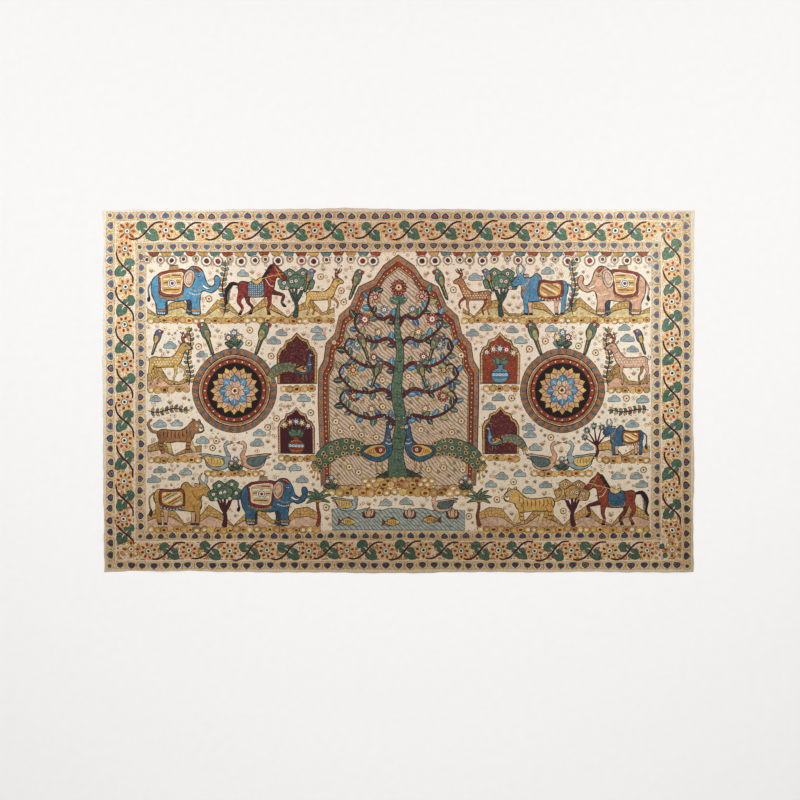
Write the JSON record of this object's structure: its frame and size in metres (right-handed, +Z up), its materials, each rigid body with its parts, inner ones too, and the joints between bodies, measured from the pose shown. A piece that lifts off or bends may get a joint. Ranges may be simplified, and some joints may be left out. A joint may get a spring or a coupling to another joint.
{
  "type": "kalamkari panel",
  "caption": "Flat rectangular hand-painted cotton panel with uneven hemmed edges, bands of border ornament and a figured field of birds, animals and flowering trees.",
  "frame": {"origin": "on the surface that the panel lies on, under the middle of the panel's box", "axes": "+X along the long edge towards the panel's right, +Y along the short edge towards the panel's top edge, +Z up out of the painted face"},
  "size_m": [1.7418, 1.0732, 0.0045],
  "materials": {
    "painted_cotton": "matt plain-weave cotton with vegetable dyes in ochre, indigo blue, madder red, green and black-brown line on an ecru ground"
  },
  "bodies": {
    "root": {"kalamkari_panel": "painted_cotton"}
  },
  "joints": []
}
